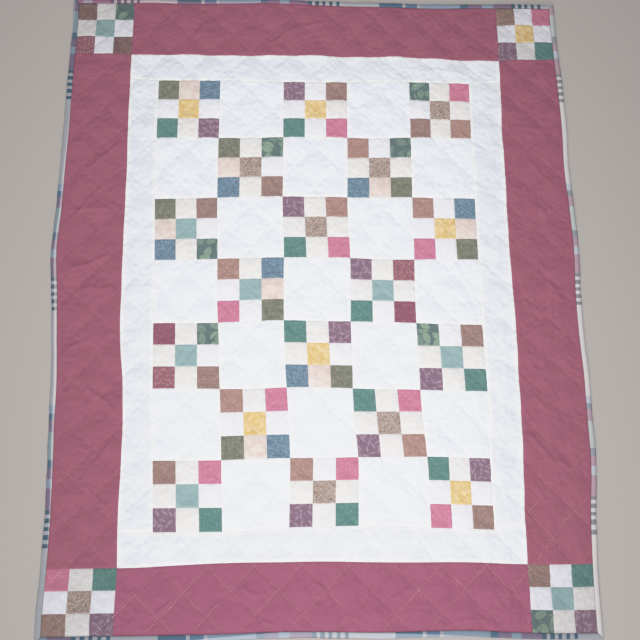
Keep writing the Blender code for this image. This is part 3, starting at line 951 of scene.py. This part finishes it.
# %% [markdown]
# ## One panel
# A panel is what a maker would hand over as one sewn unit: a nine-patch block, a plain square or
# a border strip. A fine grid is made in bmesh, its rim is drawn down to the floor and closed
# underneath, and then numpy moves all points at once from the grid to the chart and on to the
# floor. Each seam inside it is a rolled-down valley, and the turned-in edges of the cloth lift a
# band beside it. A solid block with a bump map would show none of this from the side.

# %% Seam sizes and the lines of a panel's grid
CLOTH_PITCH = SQUARE / 20
ROLL = 0.0008
DITCH_DEPTH = 0.0008
DITCH_WIDTH = 0.0015
PRESSED = 0.00032
BAND_EDGE = 0.0016
CUT_TURN = 0.05
CUT_PLACES = (0.1, 0.9)
FOOT, UNDER = -1.0, -0.75
PANEL_GAP = 0.00004
SHARP_ANGLE = 55
BACK_CLOTH = "pale"


def fine_lines(seams):
    """Grid lines from seam to seam, with one close beside each seam for its rolled edge."""
    lines = []
    for low, high in zip(seams, seams[1:]):
        steps = max(1, round((high - low - 2 * ROLL) / CLOTH_PITCH))
        lines += [low, *np.linspace(low + ROLL, high - ROLL, steps + 1)]
    return np.array([*lines, seams[-1]])


def nearest_seam(at, seams):
    """Distance from each point to the nearest of some seams."""
    return np.min([np.abs(at - seam) for seam in seams], axis=0)


def cell_of(at, seams):
    """Which cell between seams each point is in."""
    return np.clip(np.searchsorted(seams, at) - 1, 0, len(seams) - 2)

# %% The grid that becomes a panel
def closed_grid(name, columns, rows):
    """A flat grid from -1 to 1 with a rim drawn down to its foot and closed by one face."""
    bm = bmesh.new()
    bmesh.ops.create_grid(bm, x_segments=columns, y_segments=rows, size=1.0)
    rim = [edge for edge in bm.edges if edge.is_boundary]
    walls = bmesh.ops.extrude_edge_only(bm, edges=rim)["geom"]
    for vert in (item for item in walls if isinstance(item, bmesh.types.BMVert)):
        vert.co.z = FOOT
    foot = [item for item in walls if isinstance(item, bmesh.types.BMEdge) and item.is_boundary]
    bmesh.ops.edgeloop_fill(bm, edges=foot)
    bmesh.ops.recalc_face_normals(bm, faces=bm.faces)
    return mesh_from(bm, name)

# %% Move the grid to the quilt and dress its faces
def quilted_panel(name, seams_u, seams_v, cloths):
    """A closed panel. cloths is one row of names for each row of cells, from the top down."""
    across, up = fine_lines(seams_u), fine_lines(seams_v)
    mesh = closed_grid(name, len(across) - 1, len(up) - 1)
    steps = np.array([len(across) - 1, len(up) - 1])
    place, middles = numbers(mesh.vertices, "co", 3), numbers(mesh.polygons, "center", 3)
    i, j = np.rint((place[:, :2] + 1) / 2 * steps).astype(int).T
    u, v = across[i], up[j]
    column, row = cell_of(u, seams_u), cell_of(v, seams_v)
    off = np.minimum(nearest_seam(u, seams_u), nearest_seam(v, seams_v))
    band = np.clip((SEAM_ALLOWANCE + BAND_EDGE / 2 - off) / BAND_EDGE, 0, 1)
    pressed = np.array([[cloth in COLOURED for cloth in line] for line in cloths[::-1]])
    z = cloth_height(u, v) - DITCH_DEPTH * np.exp(-((off / DITCH_WIDTH) ** 2))
    z = np.where(place[:, 2] == FOOT, 0, z + PRESSED * band * pressed[row, column])
    inset_u = u + PANEL_GAP / 2 * ((u == across[0]) * 1.0 - (u == across[-1]) * 1.0)
    inset_v = v + PANEL_GAP / 2 * ((v == up[0]) * 1.0 - (v == up[-1]) * 1.0)
    write_numbers(mesh.vertices, "co", *on_floor(inset_u, inset_v), z)
    point_values(mesh, "allowance", band)
    at_u, at_v = ((middles[:, :2] + 1) / 2 * steps).T
    face_column = cell_of(np.interp(at_u, range(len(across)), across), seams_u)
    face_row = cell_of(np.interp(at_v, range(len(up)), up), seams_v)
    dress_faces(mesh, cloths, face_column, face_row, middles[:, 2] < UNDER, u, v)
    mesh.shade_smooth()
    mesh.set_sharp_from_angle(angle=math.radians(SHARP_ANGLE))
    return place_object(name, mesh)


def dress_faces(mesh, cloths, column, row, under, u, v):
    """Gives each face its cloth, and each cell its own cut of that cloth as a UV map."""
    used = sorted({cloth for line in cloths for cloth in line} | {BACK_CLOTH})
    for cloth in used:
        mesh.materials.append(MATERIALS[cloth])
    which = np.array([[used.index(cloth) for cloth in line] for line in cloths[::-1]])
    slots = np.where(under, used.index(BACK_CLOTH), which[row, column])
    mesh.polygons.foreach_set("material_index", slots.astype(np.int32))
    chance = np.random.default_rng(zlib.crc32(mesh.name.encode()))
    cells = which.shape
    turn = chance.integers(0, 4, cells) * math.pi / 2 + chance.uniform(-CUT_TURN, CUT_TURN, cells)
    start_u, start_v = chance.uniform(*CUT_PLACES, (2, *cells))
    corner = numbers(mesh.loops, "vertex_index")
    face = np.repeat(np.arange(len(mesh.polygons)), numbers(mesh.polygons, "loop_total"))
    cell = row[face], column[face]
    c, s = np.cos(turn[cell]), np.sin(turn[cell])
    cut_u = c * u[corner] - s * v[corner] + start_u[cell]
    cut_v = s * u[corner] + c * v[corner] + start_v[cell]
    cloth_map(mesh, cut_u, cut_v)
    mesh.update()


def hand_over(piece, node):
    """Makes a finished piece ride and replace its solid."""
    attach(piece, "root")
    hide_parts(node)


def lay_panel(node, seams_u, seams_v, cloths):
    """Sews one panel in place of its solid, its seam allowances showing as bands all round."""
    panel = quilted_panel(f"{node}_cloth", seams_u, seams_v, cloths)
    hand_over(panel, node)

# %% [markdown]
# ## The field
# Thirty-five blocks stand in seven rows of five. Nine-patch blocks and plain squares take turns.
# The cloths of each nine-patch are written as a maker would lay them out on a table, the three
# rows from the top down.

# %% Which cloths each block holds
FIELD_BLOCKS = table("row column squares", [
    (1, 1, "olive peach blue / pale gold pale / green cream plum"),
    (1, 3, "plum pale brown / pale gold cream / green pale pink"),
    (1, 5, "leaf cream pink / pale tan cream / brown cream rust"),
    (2, 2, "olive cream leaf / peach tan pale / blue cream brown"),
    (2, 4, "rust pale leaf / cream tan cream / blue peach olive"),
    (3, 1, "olive cream brown / peach teal pale / blue cream leaf"),
    (3, 3, "plum cream rust / blush tan cream / green cream pink"),
    (3, 5, "rust pale blue / pale gold peach / pink pale olive"),
    (4, 2, "rust cream blue / pale teal peach / pink pale olive"),
    (4, 4, "plum cream claret / blush teal blush / green pale maroon"),
    (5, 1, "maroon cream leaf / cream teal pale / claret cream brown"),
    (5, 3, "green cream plum / cream gold pale / blue peach olive"),
    (5, 5, "leaf pale brown / cream teal cream / plum cream green"),
    (6, 2, "rust blush pink / pale gold pale / olive peach blue"),
    (6, 4, "green cream pink / cream tan cream / plum cream rust"),
    (7, 1, "brown blush pink / cream teal pale / plum cream green"),
    (7, 3, "rust pale pink / cream tan cream / plum blush green"),
    (7, 5, "green blush plum / pale gold pale / pink pale brown"),
])


def rows_of(squares):
    """A block's cloths as three rows of three names."""
    return [line.split() for line in squares.split("/")]


def even_seams(low, high, count):
    """The seams of equal cells between two edges."""
    return np.linspace(low, high, count + 1)

# %% Nine-patch blocks and plain squares
patched = {(row["row"], row["column"]): rows_of(row["squares"]) for row in FIELD_BLOCKS}
for row in range(1, ROWS + 1):
    for column in range(1, COLUMNS + 1):
        cloths = patched.get((row, column), [["white"]])
        kind, slot = "plain_square", "white_cotton"
        if (row, column) in patched:
            kind, slot = "nine_patch", "patchwork_cotton"
        u, v = block_middle(row, column)
        seams_u = even_seams(u - BLOCK / 2, u + BLOCK / 2, len(cloths))
        seams_v = even_seams(v - BLOCK / 2, v + BLOCK / 2, len(cloths))
        lay_panel(f"{kind}_{row}_{column}", seams_u, seams_v, cloths)
print(len(patched), "nine-patch blocks and", ROWS * COLUMNS - len(patched), "plain squares")

# %% [markdown]
# ## The borders
# Four white strips frame the field, and four wine strips frame those, with a nine-patch block in
# each corner. The white side strips stop at the field's corners and the end strips run past them.
# The wine strip at the foot end looks a little redder, so it has a cloth of its own.

# %% Strips and corner blocks
STRIPS = table("node u v", [
    ("inner_border_left", (-INNER_U, -FIELD_U), (-FIELD_V, FIELD_V)),
    ("inner_border_right", (FIELD_U, INNER_U), (-FIELD_V, FIELD_V)),
    ("inner_border_top", (-INNER_U, INNER_U), (FIELD_V, INNER_V)),
    ("inner_border_bottom", (-INNER_U, INNER_U), (-INNER_V, -FIELD_V)),
    ("outer_border_left", (-OUTER_U, -INNER_U), (-INNER_V, INNER_V)),
    ("outer_border_right", (INNER_U, OUTER_U), (-INNER_V, INNER_V)),
    ("outer_border_top", (-INNER_U, INNER_U), (INNER_V, OUTER_V)),
    ("outer_border_bottom", (-INNER_U, INNER_U), (-OUTER_V, -INNER_V)),
])
for strip in STRIPS:
    cloth = "border white" if strip["node"].startswith("inner") else "wine"
    if strip["node"] == "outer_border_bottom":
        cloth = "foot wine"
    slot = f"{cloth.split()[-1]}_cotton"
    lay_panel(strip["node"], strip["u"], strip["v"], [[cloth]])

CORNERS = table("end side squares", [
    ("top", "left", "umber oat leaf / oat teal mist / claret mist umber"),
    ("top", "right", "brown mist pink / mist gold mist / plum oat green"),
    ("bottom", "left", "pink oat green / mist tan mist / brown oat plum"),
    ("bottom", "right", "brown mist green / mist teal oat / leaf oat plum"),
])
for corner in CORNERS:
    seams_u = even_seams(INNER_U, OUTER_U, PATCHES_PER_SIDE)
    seams_v = even_seams(INNER_V, OUTER_V, PATCHES_PER_SIDE)
    seams_u = -seams_u[::-1] if corner["side"] == "left" else seams_u
    seams_v = -seams_v[::-1] if corner["end"] == "bottom" else seams_v
    # the corner blocks use the darker copies of their prints, painted shade for the dimmer light at the
    # corners
    cloths = [
        [f"deep {name}" if f"deep {name}" in CLOTHS else name for name in row]
        for row in rows_of(corner["squares"])
    ]
    node = f"corner_patch_{corner['end']}_{corner['side']}"
    lay_panel(node, seams_u, seams_v, cloths)
print(len(STRIPS), "strips and", len(CORNERS), "corner blocks")

# %% [markdown]
# ## The binding
# A strip of homespun plaid is folded over the raw edge. The plaid is woven, so its colour at a
# point is a mix of the crosswise band and the lengthwise one there, which each side has in its
# own share. Both are colour ramps over one repeat of the plaid, along the strip and across it.
# The sides were cut at different places of the cloth, and not quite along its threads.

# %% The plaid
PLAID_COLOURS = {
    "chalk": (200, 193, 193),
    "ice": (156, 168, 182),
    "slate": (72, 96, 116),
    "mauve": (142, 98, 122),
    "sage": (156, 168, 168),
    "steel": (98, 116, 144),
    "teal": (44, 66, 80),
}
CHECKS = {"count": 10, "inches": 0.34}
SIDE_BANDS = [
    ("chalk", 8.1), ("ice", 0.7), ("slate", 0.6), ("mauve", 1.0), ("sage", 2.4), ("slate", 0.7),
    ("mauve", 0.9), ("ice", 0.8), ("mauve", 1.8),
]
END_BANDS = [
    ("chalk", 3.6), ("slate", 2.3), ("chalk", 0.3), ("steel", 1.2), ("chalk", 0.25), ("ice", 4.0),
    ("slate", 0.7), ("mauve", 1.2), ("ice", 0.9), ("mauve", 1.9),
]
THREADS_ALONG = [
    ("chalk", 0.42), ("steel", 0.08), ("slate", 0.55), ("ice", 0.45), ("mauve", 0.3), ("slate", 0.6),
]


def band_ramp(tree, bands, place):
    """A colour ramp of hard-edged bands, read over and over along a place in metres."""
    total = sum(inches for _, inches in bands)
    repeats = math_node(tree, "FRACT", math_node(tree, "DIVIDE", place, total * INCH))
    node = add_node(tree, "ShaderNodeValToRGB", {0: repeats})
    node.color_ramp.interpolation = "CONSTANT"
    stops = node.color_ramp.elements
    stops.remove(stops[1])
    at = 0.0
    for k, (colour, inches) in enumerate(bands):
        stop = stops[0] if k == 0 else stops.new(at / total)
        stop.color = linear(PLAID_COLOURS[colour])
        at += inches
    return node.outputs[0]


def plaid_cotton(name, bands, share_along):
    """Homespun plaid: crosswise bands along the strip, lengthwise ones across its width."""
    material, tree, cloth, shade = start_cloth(name)
    along, across, _ = split_up(tree, cloth)
    checks = [("chalk" if k % 2 else "teal", CHECKS["inches"]) for k in range(CHECKS["count"])]
    past = math_node(tree, "SUBTRACT", along, len(checks) * CHECKS["inches"] * INCH / 2)
    crosswise = band_ramp(tree, bands + checks, past)
    lengthwise = band_ramp(tree, THREADS_ALONG, across)
    return finish_cloth(material, mix_colour(tree, share_along, crosswise, lengthwise), shade)

# %% The folded strip: its section as shares of its width and heights in mm
BINDING_PROFILE = [
    (0.02, 3.4), (0.06, 4.1), (0.20, 5.0), (0.45, 5.2), (0.70, 4.6), (0.88, 3.7),
    (0.97, 2.8), (1.00, 2.0), (0.97, 1.1), (0.88, 0.5), (0.60, 0.4), (0.04, 0.4),
]
BINDING_PITCH = 0.003
BINDING_CLOTH = 0.00035
MITRE_REACH = 0.03
SWELL, SWELL_LENGTH = 0.07, 0.035
GATHER, GATHER_LENGTH = 0.10, 0.011
UNDERSIDE, UPPER_SIDE = 0.0006, 0.0030
BINDING_SEED = 31
SIDES = table("node upright sign checks thread slant bow least share", [
    ("binding_left", True, -1, 0.3, 0.19, 0.09, 0.44, 0.0, 0.55),
    ("binding_right", True, 1, 0.05, 0.0, 0.0, 0.0, 0.0, 0.35),
    ("binding_top", False, 1, 1.3, 1.72, 0.25, 0.0, 0.0, 0.5),
    ("binding_bottom", False, -1, 0.45, 1.05, 0.0, -1.9, 0.5, 0.6),
])


def faced_up(mesh):
    """Turns an open folded strip's faces so that its upper side faces out."""
    bm = bmesh.new()
    bm.from_mesh(mesh)
    bmesh.ops.recalc_face_normals(bm, faces=bm.faces)
    upper = [face.normal.z for face in bm.faces if face.calc_center_median().z > UPPER_SIDE]
    if sum(upper) < 0:
        bmesh.ops.reverse_faces(bm, faces=bm.faces)
    bm.to_mesh(mesh)
    bm.free()


def binding_strip(name, half_width, half_length, side, seed):
    """One side of the folded binding, mitred at both ends."""
    profile = np.array(BINDING_PROFILE) * [1, MM]
    mesh = grid_mesh(name, len(profile) - 1, round(2 * half_length / BINDING_PITCH))
    place = numbers(mesh.vertices, "co", 3)
    k = np.rint((place[:, 0] + 1) / 2 * (len(profile) - 1)).astype(int)
    share, height = profile[k].T
    along = place[:, 1] * half_length
    to_end = np.clip((np.abs(along) - half_length + MITRE_REACH) / MITRE_REACH, 0, 1)
    along = along + np.sign(along) * to_end * share * BINDING
    loose = 1 + SWELL * soft_noise(along / SWELL_LENGTH, 0 * along, seed)
    gathered = 1 + GATHER * soft_noise(along / GATHER_LENGTH, share, seed + 1)
    out = side["sign"] * (half_width + share * BINDING * loose)
    u, v = (out, along) if side["upright"] else (along, out)
    z = np.where(height > UNDERSIDE, height * gathered, height)
    write_numbers(mesh.vertices, "co", *on_floor(u, v), z)
    run = np.concatenate([[0], np.cumsum(np.hypot(*np.diff(profile * [BINDING, 1], axis=0).T))])
    reached = along / half_length
    threads = side["thread"] + side["slant"] * reached + side["bow"] * reached**2
    threads = np.maximum(threads, side["least"])
    plaid_at = (-along if side["upright"] else along) - side["checks"] * INCH
    corner = numbers(mesh.loops, "vertex_index")
    cloth_map(mesh, plaid_at[corner], (run[k] + threads * INCH)[corner])
    faced_up(mesh)
    bands = SIDE_BANDS if side["upright"] else END_BANDS
    mesh.materials.append(plaid_cotton(f"plaid of {name}", bands, side["share"]))
    mesh.shade_smooth()
    strip = place_object(name, mesh)
    thick = strip.modifiers.new("cloth", "SOLIDIFY")
    thick.thickness = BINDING_CLOTH
    thick.offset = -1.0
    return strip


for k, side in enumerate(SIDES):
    half_width, half_length = (OUTER_U, OUTER_V) if side["upright"] else (OUTER_V, OUTER_U)
    name = f"{side['node']}_cloth"
    strip = binding_strip(name, half_width, half_length, side, BINDING_SEED + 2 * k)
    hand_over(strip, side["node"])

# %% [markdown]
# ## The quilting stitches
# Running stitch shows as short dashes of pale thread with wider gaps. The thousands of them are
# one small spindle shape set out on points by Geometry Nodes and made real, which is far lighter
# to write and to change than a mesh of its own for each. They stand out most at the foot end and
# sink into the cloth towards the head end.

# %% Where each stitch lies
STITCH_LENGTH = 0.0026
STITCH_PITCH = 0.0070
STITCH_SLIP = 0.0004
STITCH_TURN = 0.05
STITCH_LIFT = 0.00012
STITCH_MARGIN = 0.006
THREAD_RADIUS = 0.00034
SNUG = 0.38
EVEN_SIZE = 0.9
TENSION, TENSION_LENGTH = 0.4, 0.10
STEP = 0.001


def stitch_line(along, offset, slope):
    """Chart points of the stitches on one diagonal, from its place along and its offset."""
    u, v = (offset + along) / 2, slope * (along - offset) / 2
    stray_u, stray_v = wobble(u, v)
    u, v = u - stray_u, v - stray_v
    inside = (np.abs(u) < OUTER_U - STITCH_MARGIN) & (np.abs(v) < OUTER_V - STITCH_MARGIN)
    return u[inside], v[inside]


chance = np.random.default_rng(seed=5)
reach = OUTER_U + OUTER_V
spots = []
for slope in (-1, 1):
    for k in range(math.floor(-reach / LINE_SPAN), math.ceil(reach / LINE_SPAN)):
        along = np.arange(-reach, reach, STITCH_PITCH * math.sqrt(2))
        along = along + chance.uniform(-1, 1) * STITCH_PITCH
        along = along + chance.normal(0, STITCH_SLIP, len(along))
        u, v = stitch_line(along, (k + 0.5) * LINE_SPAN, slope)
        x, y = on_floor(u, v)
        ahead_x, ahead_y = on_floor(u + STEP, v + slope * STEP)
        angle = np.arctan2(ahead_y - y, ahead_x - x) + chance.normal(0, STITCH_TURN, len(x))
        size = SNUG + (1 - SNUG) * np.clip(-v / INNER_V, 0, 1) ** 2
        pull = soft_noise(u / TENSION_LENGTH, v / TENSION_LENGTH, seed=55)
        size = size * (EVEN_SIZE + TENSION * pull)
        spots.append(np.column_stack([x, y, cloth_height(u, v) + STITCH_LIFT, angle, size]))
spots = np.vstack(spots)
print(len(spots), "stitches")

# %% The thread, and the stitches made real
THREAD_COLOURS = ((222, 214, 196), (244, 240, 228))
TWIST_SCALE = 1500.0


def thread_material():
    """Matt cotton thread with a faint twist along it."""
    material, tree, shader = blank_material("quilting thread")
    where = add_node(tree, "ShaderNodeTexCoord", {}).outputs["Object"]
    twist = noise(tree, where, TWIST_SCALE)
    colour = mix_colour(tree, twist, *(linear(c) for c in THREAD_COLOURS))
    fill(tree, shader, {"Roughness": 0.7, "Base Color": colour})
    return material


def stitch_shape():
    """One stitch as a spindle of sixteen triangles, lying along X."""
    bm = bmesh.new()
    bmesh.ops.create_uvsphere(bm, u_segments=4, v_segments=3, radius=1.0)
    bmesh.ops.rotate(bm, verts=bm.verts, matrix=Matrix.Rotation(math.pi / 2, 3, "Y"))
    bmesh.ops.scale(bm, vec=(STITCH_LENGTH / 2, THREAD_RADIUS, THREAD_RADIUS), verts=bm.verts)
    mesh = mesh_from(bm, "one stitch")
    mesh.shade_smooth()
    return mesh


def stitch_points():
    """A vertex for each stitch, with its angle and its size."""
    bm = bmesh.new()
    for spot in spots:
        bmesh.ops.create_vert(bm, co=spot[:3])
    mesh = mesh_from(bm, "stitch points")
    point_values(mesh, "angle", spots[:, 3])
    point_values(mesh, "size", spots[:, 4])
    return mesh


def named_value(tree, label):
    """A value that each point carries."""
    node = add_node(tree, "GeometryNodeInputNamedAttribute", {"Name": label}, data_type="FLOAT")
    return node.outputs["Attribute"]


def lay_stitches(points, shape, material):
    """Sets the shape on every point, turned and scaled as the point says, as one real mesh."""
    ends = {"Geometry": "Geometry"}
    tree, start, end = new_group("lay stitches", ends, ends, "GeometryNodeTree")
    source = add_node(tree, "GeometryNodeObjectInfo", {"Object": shape})
    turn = add_node(tree, "ShaderNodeCombineXYZ", {"Z": named_value(tree, "angle")})
    inputs = {"Points": start.outputs[0], "Instance": source.outputs["Geometry"]}
    inputs |= {"Rotation": turn.outputs[0], "Scale": named_value(tree, "size")}
    lay = add_node(tree, "GeometryNodeInstanceOnPoints", inputs)
    real = add_node(tree, "GeometryNodeRealizeInstances", {0: lay.outputs[0]})
    paint = add_node(tree, "GeometryNodeSetMaterial", {0: real.outputs[0], "Material": material})
    fill(tree, end, {0: paint.outputs[0]})
    points.modifiers.new("stitches", "NODES").node_group = tree
    seen = points.evaluated_get(bpy.context.evaluated_depsgraph_get())
    return bpy.data.meshes.new_from_object(seen)


points = place_object("stitch points", stitch_points())
spindle = place_object("one stitch", stitch_shape())
stitches_mesh = lay_stitches(points, spindle, thread_material())
for helper in (points, spindle):
    bpy.data.objects.remove(helper)
stitches = place_object("quilting_stitches", stitches_mesh)
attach(stitches, "root")
print(len(stitches_mesh.polygons), "faces of thread")
